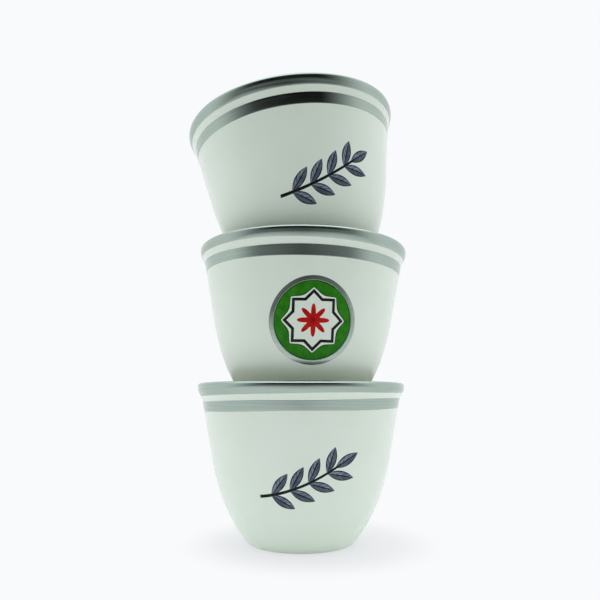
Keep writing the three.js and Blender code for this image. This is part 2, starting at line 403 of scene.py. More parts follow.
porcelainLook = {
    "clear": (0.735, 0.838, 0.757, 1),
    "cloudy": (0.715, 0.818, 0.732, 1),
    "speck": (0.50, 0.51, 0.44, 1),
    "speckShare": 0.35,
    "paintedFootShade": (0.70, 0.82, 0.715, 1),  # painted shade: greener and a little darker low on the bowl, the tint of light bounced between the glazes
    "paintedFootShadeShare": 0.6,
    "paintedFootShadeHeights": (3.0, 15.0),
    "bareClay": (0.74, 0.70, 0.62, 1),
    "darkClay": (0.66, 0.62, 0.55, 1),
    "clayGrain": (6.0, 3.0),  # scale and detail
    "clayRough": 0.5,  # added to the gloss
    "clayRelief": 2.0,
    "gloss": (0.20, 0.26),
    "fired": (0.07, 1.1, 0.45, 0.09),
    "bump": (0.35, 0.00002),
}


# satin white glaze: two whites by the clouds, painted shade that turns it greener and a little darker low on
# the bowl, rare pin specks, and bare clay on the foot ring
def porcelainFinish():
    look = porcelainLook
    finish, tree, surface = newFinish("porcelain", {"IOR": 1.5})
    place = attributeNode(tree, "cupPoint")["Vector"]
    bare = attributeNode(tree, "bareFoot")["Fac"]
    fired = firedNode(tree, place, look["fired"])
    white = mixColour(tree, fired["Clouds"], look["clear"], look["cloudy"])
    # painted shade: the glaze grows greener and a little darker from 15 mm down to 3 mm above the foot
    paintedFootShade = rangeNode(tree, partOf(tree, place, 2), *look["paintedFootShadeHeights"], look["paintedFootShadeShare"], 0.0)
    white = mixColour(tree, paintedFootShade, white, look["paintedFootShade"])
    specks = mathNode(tree, "MULTIPLY", fired["Specks"], look["speckShare"])
    specked = mixColour(tree, specks, white, look["speck"])
    grain = noiseNode(tree, place, *look["clayGrain"])[0]
    clay = mixColour(tree, grain, look["bareClay"], look["darkClay"])
    tree.links.new(mixColour(tree, bare, specked, clay), surface.inputs["Base Color"])
    glossy = rangeNode(tree, fired["Clouds"], 0.0, 1.0, *look["gloss"])
    rough = mathNode(tree, "MULTIPLY_ADD", bare, look["clayRough"], glossy)
    tree.links.new(rough, surface.inputs["Roughness"])
    clayRelief = mathNode(tree, "MULTIPLY", bare, look["clayRelief"])
    relief = mathNode(tree, "MULTIPLY_ADD", clayRelief, grain, fired["Ripple"])
    bumped(tree, surface, mathNode(tree, "SUBTRACT", relief, fired["Specks"]), *look["bump"])
    return finish


platinumLook = {
    "bright": (0.405, 0.495, 0.445, 1),
    "dull": (0.37, 0.46, 0.41, 1),
    "thin": (0.45, 0.54, 0.485, 1),  # at the brushed edges, where the lustre lies thinly
    "thinShare": 0.6,
    "thinFrom": 0.86,  # from this share of the way to an edge
    "thinRough": 0.12,
    "stretch": (0.05, 0.05, 2.6),  # streaks are long round the cup and fine up it
    "streakDetail": 5.0,
    "streakRange": (0.35, 0.68),
    "gloss": (0.19, 0.13),
    "cloudRough": 0.04,
    "fired": (0.22, 2.4, 0.9, 0.12),
    "bump": (0.12, 0.000008),
}


# platinum lustre: long brush streaks around the cup, paler and rougher along its two edges
def platinumFinish():
    look = platinumLook
    finish, tree, surface = newFinish("platinum", {"Metallic": 1.0})
    place = attributeNode(tree, "cupPoint")["Vector"]
    stretched = addNode(tree, "ShaderNodeVectorMath", {0: place, 1: look["stretch"]}, operation="MULTIPLY")
    streaks = noiseNode(tree, stretched.outputs[0], 1.0, look["streakDetail"])[0]
    brush = rangeNode(tree, streaks, *look["streakRange"])
    fired = firedNode(tree, place, look["fired"])
    edge = rangeNode(tree, mathNode(tree, "ABSOLUTE", printLayout(tree)[1]), look["thinFrom"], 1.0)
    colour = mixColour(tree, brush, look["dull"], look["bright"])
    colour = mixColour(tree, mathNode(tree, "MULTIPLY", edge, look["thinShare"]), colour, look["thin"])
    tree.links.new(colour, surface.inputs["Base Color"])
    base = rangeNode(tree, brush, 0.0, 1.0, *look["gloss"])
    uneven = mathNode(tree, "MULTIPLY_ADD", fired["Clouds"], look["cloudRough"], base)
    rough = mathNode(tree, "MULTIPLY_ADD", edge, look["thinRough"], uneven)
    tree.links.new(rough, surface.inputs["Roughness"])
    bumped(tree, surface, mathNode(tree, "ADD", brush, fired["Ripple"]), *look["bump"])
    return finish


# Print colours: body, lighter patches and drawn lines
printLooks = {
    "slate": ((0.115, 0.155, 0.225, 1), (0.22, 0.28, 0.36, 1), (0.008, 0.010, 0.013, 1)),
    "black": ((0.006, 0.007, 0.007, 1), (0.022, 0.025, 0.024, 1), (0.003, 0.003, 0.003, 1)),
    "green": ((0.014, 0.155, 0.004, 1), (0.028, 0.215, 0.010, 1), (0.005, 0.055, 0.002, 1)),
    "red": ((0.38, 0.003, 0.002, 1), (0.50, 0.010, 0.007, 1), (0.16, 0.002, 0.002, 1)),
}
printGlaze = {
    "pinhole": (0.6, 0.63, 0.58, 1),
    "pinholeShare": 0.25,
    "gloss": (0.28, 0.40),
    "fired": (0.5, 3.0, 1.6, 0.16),
    "bump": (0.3, 0.00002),
}


# fired print colour: body and lighter patches by the clouds, pinholes, and dark lines where a mask says
def printFinish(name, lines):
    body, light, dark = printLooks[name]
    finish, tree, surface = newFinish(name + "_print", {"Specular IOR Level": 0.1})
    fired = firedNode(tree, attributeNode(tree, "cupPoint")["Vector"], printGlaze["fired"])
    colour = mixColour(tree, fired["Clouds"], body, light)
    pinholes = mathNode(tree, "MULTIPLY", fired["Specks"], printGlaze["pinholeShare"])
    colour = mixColour(tree, pinholes, colour, printGlaze["pinhole"])
    tree.links.new(mixColour(tree, lines(tree), colour, dark), surface.inputs["Base Color"])
    rough = rangeNode(tree, fired["Clouds"], 0.0, 1.0, *printGlaze["gloss"])
    tree.links.new(rough, surface.inputs["Roughness"])
    bumped(tree, surface, fired["Ripple"], *printGlaze["bump"])
    return finish


# the two layout values of a film: along 0 to 1, and across -1 to 1 from its middle line
def printLayout(tree):
    layout = addNode(tree, "ShaderNodeUVMap", uv_map="layout").outputs[0]
    return partOf(tree, layout, 0), mathNode(tree, "MULTIPLY_ADD", partOf(tree, layout, 1), 2.0, -1.0)


# Lines drawn in the prints, as ranges across the film
drawing = {
    "midrib": (0.08, 0.2),
    "ribs": 7.0,
    "ribSlope": -1.4,
    "ribWidth": (0.12, 0.3),
    "ribShare": 0.75,
    "leafOutline": (0.66, 0.86),
    "leafShade": (-0.12, 0.04),
    "shadeShare": 0.55,
    "ringOutline": (0.72, 0.95),
    "petalHeart": (-0.9, -0.2),
    "heartShare": 0.9,
}


# veins of a leaf: a midrib, side ribs that slope forward, a dark outline and a shaded half
def leafLines(tree):
    along, across = printLayout(tree)
    aside = mathNode(tree, "ABSOLUTE", across)
    midrib = rangeNode(tree, aside, *drawing["midrib"], 1.0, 0.0)
    spaced = mathNode(tree, "MULTIPLY", along, drawing["ribs"])
    slope = mathNode(tree, "MULTIPLY_ADD", aside, drawing["ribSlope"], spaced)
    rib = mathNode(tree, "MULTIPLY_ADD", mathNode(tree, "FRACT", slope), 2.0, -1.0)
    rib = rangeNode(tree, mathNode(tree, "ABSOLUTE", rib), *drawing["ribWidth"], 1.0, 0.0)
    ribs = mathNode(tree, "MULTIPLY", rib, drawing["ribShare"])
    outline = rangeNode(tree, aside, *drawing["leafOutline"])
    shaded = rangeNode(tree, across, *drawing["leafShade"], drawing["shadeShare"], 0.0)
    drawn = mathNode(tree, "MAXIMUM", outline, mathNode(tree, "MAXIMUM", midrib, ribs))
    return mathNode(tree, "MAXIMUM", drawn, shaded)


# a fine dark line along both edges of a ring
def edgeLines(tree):
    return rangeNode(tree, mathNode(tree, "ABSOLUTE", printLayout(tree)[1]), *drawing["ringOutline"])


# petals: dark towards the heart
def petalLines(tree):
    return rangeNode(tree, printLayout(tree)[1], *drawing["petalHeart"], drawing["heartShare"], 0.0)


corkLook = {
    "grain": (0.58, 0.43, 0.27, 1),
    "pale": (0.70, 0.56, 0.38, 1),
    "dark": (0.22, 0.14, 0.08, 1),
    "warp": (1.1, 3.0),  # scale and detail of what bends the granules
    "warpBy": (1.1, 1.1, 1.1),
    "granules": 0.7,  # for each millimetre
    "seamWidth": 0.09,
    "seamShare": 0.7,
    "pitDepth": 2.0,
    "rippleRange": (0.3, 0.7),
    "gloss": (0.72, 0.92),
    "fired": (0.6, 5.0, 0.8, 0.3),
    "bump": (0.8, 0.00025),
}


# pressed cork: granules of their own shade, dark seams between them and scattered pits
def corkFinish():
    look = corkLook
    finish, tree, surface = newFinish("cork", {"Specular IOR Level": 0.2})
    place = attributeNode(tree, "cupPoint")["Vector"]
    warp = noiseNode(tree, place, *look["warp"])["Color"]
    bent = {0: warp, 1: look["warpBy"], 2: place}
    moved = addNode(tree, "ShaderNodeVectorMath", bent, operation="MULTIPLY_ADD").outputs[0]
    granules = {"Vector": moved, "Scale": look["granules"]}
    cells = addNode(tree, "ShaderNodeTexVoronoi", granules).outputs
    seams = addNode(tree, "ShaderNodeTexVoronoi", granules, feature="DISTANCE_TO_EDGE").outputs
    fired = firedNode(tree, place, look["fired"])
    shade = addNode(tree, "ShaderNodeSeparateColor", {"Color": cells["Color"]}).outputs[0]
    colour = mixColour(tree, shade, look["grain"], look["pale"])
    seam = rangeNode(tree, seams["Distance"], 0.0, look["seamWidth"], 1.0, 0.0)
    colour = mixColour(tree, mathNode(tree, "MULTIPLY", seam, look["seamShare"]), colour, look["dark"])
    tree.links.new(mixColour(tree, fired["Specks"], colour, look["dark"]), surface.inputs["Base Color"])
    rough = rangeNode(tree, fired["Ripple"], *look["rippleRange"], *look["gloss"])
    tree.links.new(rough, surface.inputs["Roughness"])
    dents = mathNode(tree, "ADD", seam, mathNode(tree, "MULTIPLY", fired["Specks"], look["pitDepth"]))
    bumped(tree, surface, mathNode(tree, "SUBTRACT", fired["Ripple"], dents), *look["bump"])
    return finish


porcelain = porcelainFinish()
platinum = platinumFinish()
slatePrint = printFinish("slate", leafLines)
blackPrint = printFinish("black", edgeLines)
greenPrint = printFinish("green", edgeLines)
redPrint = printFinish("red", petalLines)
cork = corkFinish()
print("finishes made")


# shell of a cup: the glaze outline turned about the axis, bare where the foot ring stands
def addShell(cupName):
    made = skin(turned(glaze[:, :1], glaze[:, 1:]), False)
    height = made[0][:, 2]
    out = np.hypot(made[0][:, 0], made[0][:, 1])
    onRing = out > ringInside - cup["bareInside"]
    bare = np.clip(cup["bareEdge"] - height / cup["bareHeight"], 0, 1) * onRing
    addPiece(
        cupName + "_cup_shell", [made], places[cupName], porcelain,
        cupName + "_cup", cupName + "_cup_body", {"bareFoot": bare},
    )


# Platinum bands: one over the lip, one below it, brushed on by hand
lustre = {
    "lipBandHeight": 3.3,
    "lipBandInside": 2.4,
    "bandSpacing": 1.7,
    "wallBandHeight": 3.0,
    "sunk": 0.03,
    "slant": {"bottom": 0.0158, "middle": -0.0104, "top": -0.0011},  # rise for each millimetre to the right
    "drop": {"bottom": 0.1, "middle": 0.12, "top": 0.22},  # how much lower the brush ran on each cup
    "waver": {"bottom": 0.10, "middle": 0.05, "top": 0.05},
    "insideWaver": 1.5,  # times that, inside the lip
    "waves": (3, 5),  # waves round the cup
    "secondWave": 0.6,
    "secondPhase": 2.3,
    "phases": {"bottom": 0.4, "middle": 2.1, "top": 3.8},
    "edgePhases": {"lip": 0, "wallLow": 1, "wallHigh": 2, "inside": 5},
    "edgePower": 12,  # how late the film sinks in towards its edges
    "acrossSteps": 26,
}


# uneven hand of the brush: the sum of two slow waves round the cup
def brushWaver(size, phase):
    first, second = lustre["waves"]
    added = lustre["secondWave"] * np.sin(second * turnAngles + lustre["secondPhase"] * phase)
    return size * (np.sin(first * turnAngles + phase) + added)


# run length of the glaze at a height on the outside
def outsideRun(height):
    return np.interp(height, glaze[outside, 1], glazeRun[outside])


# the same down the inside of the lip
def insideRun(height):
    inside = slice(rimTop, rimTop + len(rimArc) // 2 + len(upperWall))
    return np.interp(-height, -glaze[inside, 1], glazeRun[inside])


# film between two edges, each a run length at every turn: across goes by a sine, and the top follows the glaze
# at 1 - across^12 of the step, so that it sinks in at the edges
def bandSkin(lowEdge, highEdge, steps):
    over = np.sin(np.linspace(-np.pi / 2, np.pi / 2, steps))
    under = np.linspace(1, -1, steps // 2)
    across = np.concatenate([over, under])[:, None]
    top = cup["glazeStep"] * (1 - over ** lustre["edgePower"])
    lift = np.concatenate([top, np.full(len(under), -lustre["sunk"])])[:, None]
    run = lowEdge + (highEdge - lowEdge) * (across + 1) / 2
    r, z = (np.interp(run, glazeRun, glaze[:, i]) for i in range(2))
    outR, outZ = (np.interp(run, glazeRun, glazeNormals[:, i]) for i in range(2))
    grid = turned(r + lift * outR, z + lift * outZ)
    turnsAround = np.broadcast_to(turnAngles / (2 * np.pi), run.shape)
    return skin(grid, True, np.stack([turnsAround, np.broadcast_to((across + 1) / 2, run.shape)], -1))


# the two bands of a cup, each edge at its height, slanted by the cosine of the turn and wavering
def addBands(cupName):
    slant = lustre["slant"][cupName] * cup["rimRadius"] * np.cos(turnAngles)
    waver = lustre["waver"][cupName]
    phases = {edge: lustre["phases"][cupName] + phase for edge, phase in lustre["edgePhases"].items()}
    lipLow = cup["height"] - lustre["lipBandHeight"] - lustre["drop"][cupName] + slant
    wallHigh = lipLow - lustre["bandSpacing"]
    wallLow = wallHigh - lustre["wallBandHeight"]
    insideLow = cup["height"] - lustre["lipBandInside"] + slant
    bands = {
        "lip": (
            outsideRun(lipLow + brushWaver(waver, phases["lip"])),
            insideRun(insideLow + brushWaver(waver * lustre["insideWaver"], phases["inside"])),
            lustre["acrossSteps"] * 2,
        ),
        "wall": (
            outsideRun(wallLow + brushWaver(waver, phases["wallLow"])),
            outsideRun(wallHigh + brushWaver(waver, phases["wallHigh"])),
            lustre["acrossSteps"],
        ),
    }
    for band, (lowEdge, highEdge, steps) in bands.items():
        addPiece(
            cupName + "_" + band + "_lustre", [bandSkin(lowEdge, highEdge, steps)], places[cupName], platinum,
            cupName + "_cup", cupName + "_" + band + "_band",
        )


for cupName in places:
    addShell(cupName)
    addBands(cupName)
    print(cupName, "cup and bands made")

# Films of the prints: height above the glaze, depth under it, and the power that rounds their edges
printFilm = {"lift": 0.035, "stemLift": 0.05, "sunk": 0.03, "edge": 0.5}


# print laid on the front: the sine of its angle is x over the wall's radius at height z, and it rises along
# the wall's normal
def onWall(x, z, lift, facing):
    r, outR, outZ = (
        np.interp(z, glaze[outside, 1], values[outside])
        for values in (glaze[:, 0], glazeNormals[:, 0], glazeNormals[:, 1])
    )
    angle = np.arcsin(x / r) - np.pi / 2 + np.radians(facing)
    r = r + lift * outR
    return np.stack([r * np.cos(angle), r * np.sin(angle), z + lift * outZ], -1)


# cross-section of a film: across by the cosine of a turn, and its height by a power of the sine
def filmSection(steps, lift, edge=printFilm["edge"]):
    turn = np.linspace(0, 2 * np.pi, steps, endpoint=False)
    rise = np.sign(np.sin(turn)) * np.abs(np.sin(turn)) ** edge
    return np.cos(turn), np.where(rise > 0, rise * lift, rise * printFilm["sunk"])


# Leaf sprig on the fronts of the bottom and top cups
sprig = {
    "stemRun": 22.0,
    "stemRise": 9.0,
    "stemSag": 3.0,
    "stemWidth": 0.9,
    "stemTaper": 0.35,
    "stemDrawn": 0.9,  # the stem is coloured like the outer edge of a leaf, from here on
    "leafLength": 7.4,
    "leafWidth": 2.7,
    "leafPairs": 4,
    "leafAngle": 42.0,
    "leafEnd": 0.12,  # the blade starts and ends this much of a turn inside its tips
    "firstLeaves": 0.14,
    "lastLeaves": 0.82,
    "tipLeaf": 0.92,
    "height": 21.5,
    "facing": {"bottom": 0.0, "top": 12.0},
    "steps": 34,
    "sectionSteps": 20,
}


# stem: a quadratic curve from the lower left to the upper right, and its heading
def stemAt(t):
    t = np.asarray(t, float)[..., None]
    start = np.array([-sprig["stemRun"] / 2, sprig["height"] - sprig["stemRise"] / 2])
    middle = np.array([0, sprig["height"] - sprig["stemSag"]])
    end = np.array([sprig["stemRun"] / 2, sprig["height"] + sprig["stemRise"] / 2])
    point = (1 - t) ** 2 * start + 2 * t * (1 - t) * middle + t ** 2 * end
    heading = 2 * (1 - t) * (middle - start) + 2 * t * (end - middle)
    return point, np.arctan2(heading[..., 1], heading[..., 0])


# blade along a middle line: points of the line moved sideways by the half width times the section's share
def bladeSkin(line, heading, halfWidth, lift, facing, drawn=0.0):
    share, rise = filmSection(sprig["sectionSteps"], lift)
    aside = halfWidth[:, None] * share
    x = line[:, :1] - np.sin(heading)[:, None] * aside
    z = line[:, 1:] + np.cos(heading)[:, None] * aside
    along = np.broadcast_to(np.linspace(0, 1, len(line))[:, None], aside.shape)
    across = drawn + (1 - drawn) * (share + 1) / 2
    layout = np.stack([along, np.broadcast_to(across, aside.shape)], -1)
    return skin(onWall(x, z, np.broadcast_to(rise, aside.shape), facing), False, layout)


# leaf: a straight midrib whose half width is 2 s (1 - s) times the leaf's width
def leafSkin(foot, turn, facing):
    s = 0.5 - 0.5 * np.cos(np.linspace(sprig["leafEnd"], np.pi - sprig["leafEnd"], sprig["steps"]))
    reach = s[:, None] * sprig["leafLength"]
    line = foot + reach * np.array([np.cos(turn), np.sin(turn)])
    halfWidth = 2 * s * (1 - s) * sprig["leafWidth"]
    return bladeSkin(line, np.full(len(s), turn), halfWidth, printFilm["lift"], facing)


# sprig: a tapered stem, leaves in pairs at an angle to it, and one leaf at its tip
def addSprig(cupName):
    facing = sprig["facing"][cupName]
    t = np.linspace(0, 1, sprig["steps"])
    line, heading = stemAt(t)
    taper = sprig["stemWidth"] / 2 * (1 - sprig["stemTaper"] * t)
    skins = [bladeSkin(line, heading, taper, printFilm["stemLift"], facing, sprig["stemDrawn"])]
    for along in np.linspace(sprig["firstLeaves"], sprig["lastLeaves"], sprig["leafPairs"]):
        foot, turn = stemAt(along)
        skins += [leafSkin(foot, turn + side * np.radians(sprig["leafAngle"]), facing) for side in (1, -1)]
    foot, turn = stemAt(sprig["tipLeaf"])
    skins.append(leafSkin(foot, turn, facing))
    addPiece(
        cupName + "_leaf_sprig", skins, places[cupName], slatePrint,
        cupName + "_cup", cupName + "_sprig",
    )


addSprig("bottom")
addSprig("top")
print("leaf sprigs made")

# Round medallion on the middle cup's front, from its platinum rim inwards
medallion = {
    "radius": 11.8,
    "height": 23.1,
    "facing": 6.0,
    "rimWidth": 0.9,
    "rimBevel": 0.1,  # how much higher the rim stands along its inner edge
    "rimLift": 0.04,
    "rimEdge": 0.15,  # power of the sine that rounds its edges, sharper when small
    "rimSteps": 36,
    "rimRunsIn": 0.32,  # the lustre runs on to the green border, over most of the gap
    "gap": 0.35,
    "borderWidth": 1.95,
    "scallopDepth": 1.5,
    "starWidth": 1.1,
    "rosetteGap": 1.1,
    "rosetteWaist": 1.9,
    "rosetteStart": 0.06,
    "rosettePower": 10,  # how late the petals' film comes down to its edge
    "rosetteSteps": 24,
    "folds": 8,
    "stepsPerFold": 48,
    "sectionSteps": 18,
}
folds = medallion["folds"]
roundAngles = np.linspace(0, 2 * np.pi, folds * medallion["stepsPerFold"], endpoint=False)
borderOuter = medallion["radius"] - medallion["rimWidth"] - medallion["gap"]
borderInner = borderOuter - medallion["borderWidth"]
starRadius = borderInner - medallion["gap"]
rimInner = medallion["radius"] - medallion["rimWidth"] - medallion["rimRunsIn"]
starNotch = np.cos(np.pi / 4) / np.cos(np.pi / folds)  # two squares laid crosswise
rosetteRadius = (starRadius - medallion["starWidth"]) * starNotch - medallion["rosetteGap"]


# film between two outlines round the medallion's middle, higher by the bevel along the inner one
def ringSkin(outer, inner, lift, steps, bevel=0.0, edge=printFilm["edge"]):
    share, rise = filmSection(steps, lift, edge)
    rise = np.where(rise > 0, rise * (1 + bevel / lift * (1 - share) / 2), rise)
    reach = inner + (outer - inner) * (share[:, None] + 1) / 2
    x = reach * np.cos(roundAngles)
    z = medallion["height"] + reach * np.sin(roundAngles)
    layout = np.stack([
        np.broadcast_to(roundAngles / (2 * np.pi), reach.shape),
        np.broadcast_to((share[:, None] + 1) / 2, reach.shape),
    ], -1)
    grid = onWall(x, z, np.broadcast_to(rise[:, None], reach.shape), medallion["facing"])
    return skin(grid, True, layout)


# star outline: straight lines from each tip to the notch beside it, as a distance at each angle
def starOutline(radius):
    half = np.pi / folds
    offTip = np.abs((roundAngles + half) % (2 * half) - half)
    notch = radius * starNotch
    edgeTurn = np.arctan2(radius - notch * np.cos(half), notch * np.sin(half))
    return radius * np.cos(edgeTurn) / np.cos(offTip - edgeTurn)


# rosette: petals whose reach swings with the cosine of the folds, as a full film with a rounded edge
def rosetteSkin(lift):
    middle = (rosetteRadius + medallion["rosetteWaist"]) / 2
    swing = (rosetteRadius - medallion["rosetteWaist"]) / 2
    petals = middle + swing * np.cos(folds * roundAngles)
    out = np.sin(np.linspace(medallion["rosetteStart"], np.pi / 2, medallion["rosetteSteps"]))
    share = np.concatenate([out, out[-2::-1]])[:, None]
    topLift = lift * np.sqrt(np.clip(1 - out ** medallion["rosettePower"], 0, 1))
    rise = np.concatenate([topLift, np.full(len(out) - 1, -printFilm["sunk"])])[:, None]
    reach = share * petals
    grid = onWall(
        reach * np.cos(roundAngles),
        medallion["height"] + reach * np.sin(roundAngles),
        np.broadcast_to(rise, reach.shape),
        medallion["facing"],
    )
    layout = np.stack([
        np.broadcast_to(roundAngles / (2 * np.pi), reach.shape), np.broadcast_to(share, reach.shape)
    ], -1)
    return skin(grid, False, layout)


circle = np.ones_like(roundAngles)
lobes = borderInner - medallion["scallopDepth"] * np.abs(np.sin(folds * roundAngles / 2))
medallionPieces = {
    "rim": (
        ringSkin(
            circle * medallion["radius"], circle * rimInner, medallion["rimLift"],
            medallion["rimSteps"], medallion["rimBevel"], medallion["rimEdge"],
        ), platinum, "platinum",
    ),
    "border": (
        ringSkin(circle * borderOuter, lobes, printFilm["lift"], medallion["sectionSteps"]),
        greenPrint, "green_print",
    ),
    "star": (
        ringSkin(
            starOutline(starRadius), starOutline(starRadius - medallion["starWidth"]),
            printFilm["lift"], medallion["sectionSteps"],
        ), blackPrint, "black_print",
    ),
    "rosette": (rosetteSkin(printFilm["lift"]), redPrint, "red_print"),
}
for part, (made, finish, slot) in medallionPieces.items():
    addPiece(
        "medallion_" + part + "_film", [made], places["middle"], finish,
        "middle_cup", "medallion_" + part,
    )
print("medallion made")

# Cork plates that carry the upper cups
corkPlate = {
    "thickness": 5.0,
    "clearance": 0.3,
    "softness": 0.5,
    "disc": (0.06, 0.97),  # shares of the reach from the middle to where the soft edge starts
    "discSteps": 16,
    "edgeSteps": 6,
    "sideSteps": 8,
    "fitRounds": 30,
}


# reach of the plate at each turn where its slab, a depth under the foot above, meets the cup's inside:
# the height on the leaning slab and the inside radius at that height, repeated until they agree
def corkReach(matrix, depth):
    up, foot = matrix[:3, 2], matrix[:3, 3]
    heights, radii = innerWall[::-1, 1], innerWall[::-1, 0]
    reach = np.full((len(depth), cup["turns"]), cup["bowlRadius"])
    for fitRound in range(corkPlate["fitRounds"]):
        reach = np.interp(slabHeight(reach, up, foot, depth), heights, radii) - corkPlate["clearance"]
    return reach


# height of the leaning slab at a reach along each turn
def slabHeight(reach, up, foot, depth):
    right = reach * np.cos(turnAngles) - foot[0]
    back = reach * np.sin(turnAngles) - foot[1]
    return foot[2] + (-depth - up[0] * right - up[1] * back) / up[2]


# plate: rows over the top disc, round the soft upper edge, down the side, and back under to the middle
def addCork(name, lowerCup, seat):
    matrix = seatMatrix(seat)
    soft = corkPlate["softness"]
    top = corkPlate["clearance"]
    base = top + corkPlate["thickness"]
    edgeTurn = np.linspace(0, np.pi / 2, corkPlate["edgeSteps"])
    edgeIn, edgeDown = soft * (1 - np.sin(edgeTurn)), soft * (1 - np.cos(edgeTurn))
    side = np.linspace(top + soft, base - soft, corkPlate["sideSteps"] + 2)[1:-1]
    disc = np.linspace(*corkPlate["disc"], corkPlate["discSteps"])
    flat = np.zeros_like(disc)
    depth = np.concatenate([flat + top, top + edgeDown, side, base - edgeDown[::-1], flat + base])[:, None]
    drawn = np.concatenate([flat, edgeIn, 0 * side, edgeIn[::-1], flat])[:, None]
    edgeRows = 2 * len(edgeTurn) + len(side)
    share = np.concatenate([disc, np.ones(edgeRows), disc[::-1]])[:, None]
    reach = (corkReach(matrix, depth) - drawn) * share
    height = slabHeight(reach, matrix[:3, 2], matrix[:3, 3], depth)
    addPiece(
        name + "_plate", [skin(turned(reach, height), False)], places[lowerCup], cork, name, name
    )


addCork("lower_cork", "bottom", seats["middle"])
addCork("upper_cork", "middle", seats["top"])
print("cork plates made")

# Camera at the photograph's angle, in front of the bottom cup and a little below its rim
cameraPlan = {
    "lens": 35.447,
    "sensor": 36.0,
    "distance": 186.29,
    "height": 43.008,
    "pitch": 5.331,
    "shiftX": -0.0015,
    "shiftY": 0.075,
    "clipStart": 10.0,
}
cameraData = bpy.data.cameras.new("camera")
cameraData.lens = cameraPlan["lens"]
cameraData.sensor_width = cameraPlan["sensor"]
cameraData.shift_x = cameraPlan["shiftX"]
cameraData.shift_y = cameraPlan["shiftY"]
cameraData.clip_start = cameraPlan["clipStart"] * mm
camera = bpy.data.objects.new("camera", cameraData)
camera.location = axisX * mm, (axisY - cameraPlan["distance"]) * mm, cameraPlan["height"] * mm
camera.rotation_euler = np.radians(90 + cameraPlan["pitch"]), 0, 0
bpy.context.scene.collection.objects.link(camera)
bpy.context.scene.camera = camera

# Studio: white all round, a dark card behind the camera, and a white floor that keeps the shadow
studio = {
    "backdrop": (0.947, 0.956, 0.973, 1),
    "white": (1, 1, 1, 1),
    "level": 1.1,
    "behind": 0.76,  # share of that level from straight behind
    "behindFrom": (0.2, 0.9),
    "overhead": 1.6,  # how much brighter the light is from straight above
    "overheadShown": 1.8,  # the same in reflections
    "overheadFrom": (0.6, 0.9),
}


# rays that see the plain background, straight on, in gloss or through glass, and the camera's own rays
def seenRays(tree):
    path = addNode(tree, "ShaderNodeLightPath").outputs
    seen = mathNode(tree, "MAXIMUM", path["Is Camera Ray"], path["Is Glossy Ray"])
    return mathNode(tree, "MAXIMUM", seen, path["Is Transmission Ray"]), path["Is Camera Ray"]


# shader a at share 0, b at share 1
def mixShader(tree, share, a, b):
    return addNode(tree, "ShaderNodeMixShader", {0: share, 1: a.outputs[0], 2: b.outputs[0]})


# world: soft light, weaker from behind and stronger from above; reflections see the backdrop's white with a
# brighter top, and the camera sees that white alone
def makeWorld():
    world = bpy.data.worlds.new("studio")
    bpy.context.scene.world = world
    world.use_nodes = True
    tree = world.node_tree
    tree.nodes.clear()
    seen, direct = seenRays(tree)
    way = addNode(tree, "ShaderNodeTexCoord").outputs["Generated"]
    back, up = partOf(tree, way, 1), partOf(tree, way, 2)
    level = rangeNode(tree, back, *studio["behindFrom"], studio["level"], studio["level"] * studio["behind"])
    above = rangeNode(tree, up, *studio["overheadFrom"], 1.0, studio["overhead"])
    aboveShown = rangeNode(tree, up, *studio["overheadFrom"], 1.0, studio["overheadShown"])
    strength = mathNode(tree, "MULTIPLY", level, above)
    light = addNode(tree, "ShaderNodeBackground", {"Color": studio["white"], "Strength": strength})
    mirrored = addNode(tree, "ShaderNodeBackground", {"Color": studio["backdrop"], "Strength": aboveShown})
    plain = addNode(tree, "ShaderNodeBackground", {"Color": studio["backdrop"], "Strength": 1.0})
    mixed = mixShader(tree, direct, mixShader(tree, seen, light, mirrored), plain)
    addNode(tree, "ShaderNodeOutputWorld", {"Surface": mixed.outputs[0]})


# object of the stage, which isn't part of the cups
def stageObject(name, points, faces, finish):
    mesh = bpy.data.meshes.new(name)
    mesh.from_pydata((points * mm).tolist(), [], faces.tolist())
    mesh.materials.append(finish)
    made = bpy.data.objects.new(name, mesh)
    bpy.context.scene.collection.objects.link(made)
    return made


# material of the stage, still without a shader
def bareMaterial(name):
    finish = bpy.data.materials.new(name)
    finish.use_nodes = True
    finish.node_tree.nodes.clear()
    return finish, finish.node_tree


floorPlan = {
    "radius": 2200.0,
    "steps": 96,
    "bounce": (0.92, 0.92, 0.92, 1),  # colour that soft light meets
    "glow": 0.14,
    "matt": (0.72, 0.727, 0.74, 1),  # colour that takes the shadow
    "shadowShare": 0.37,  # how much of the shadow shows
    "shadowShift": 3.0,  # to the right
    "shadowFade": (24.0, 42.0),  # from the cup's axis
}


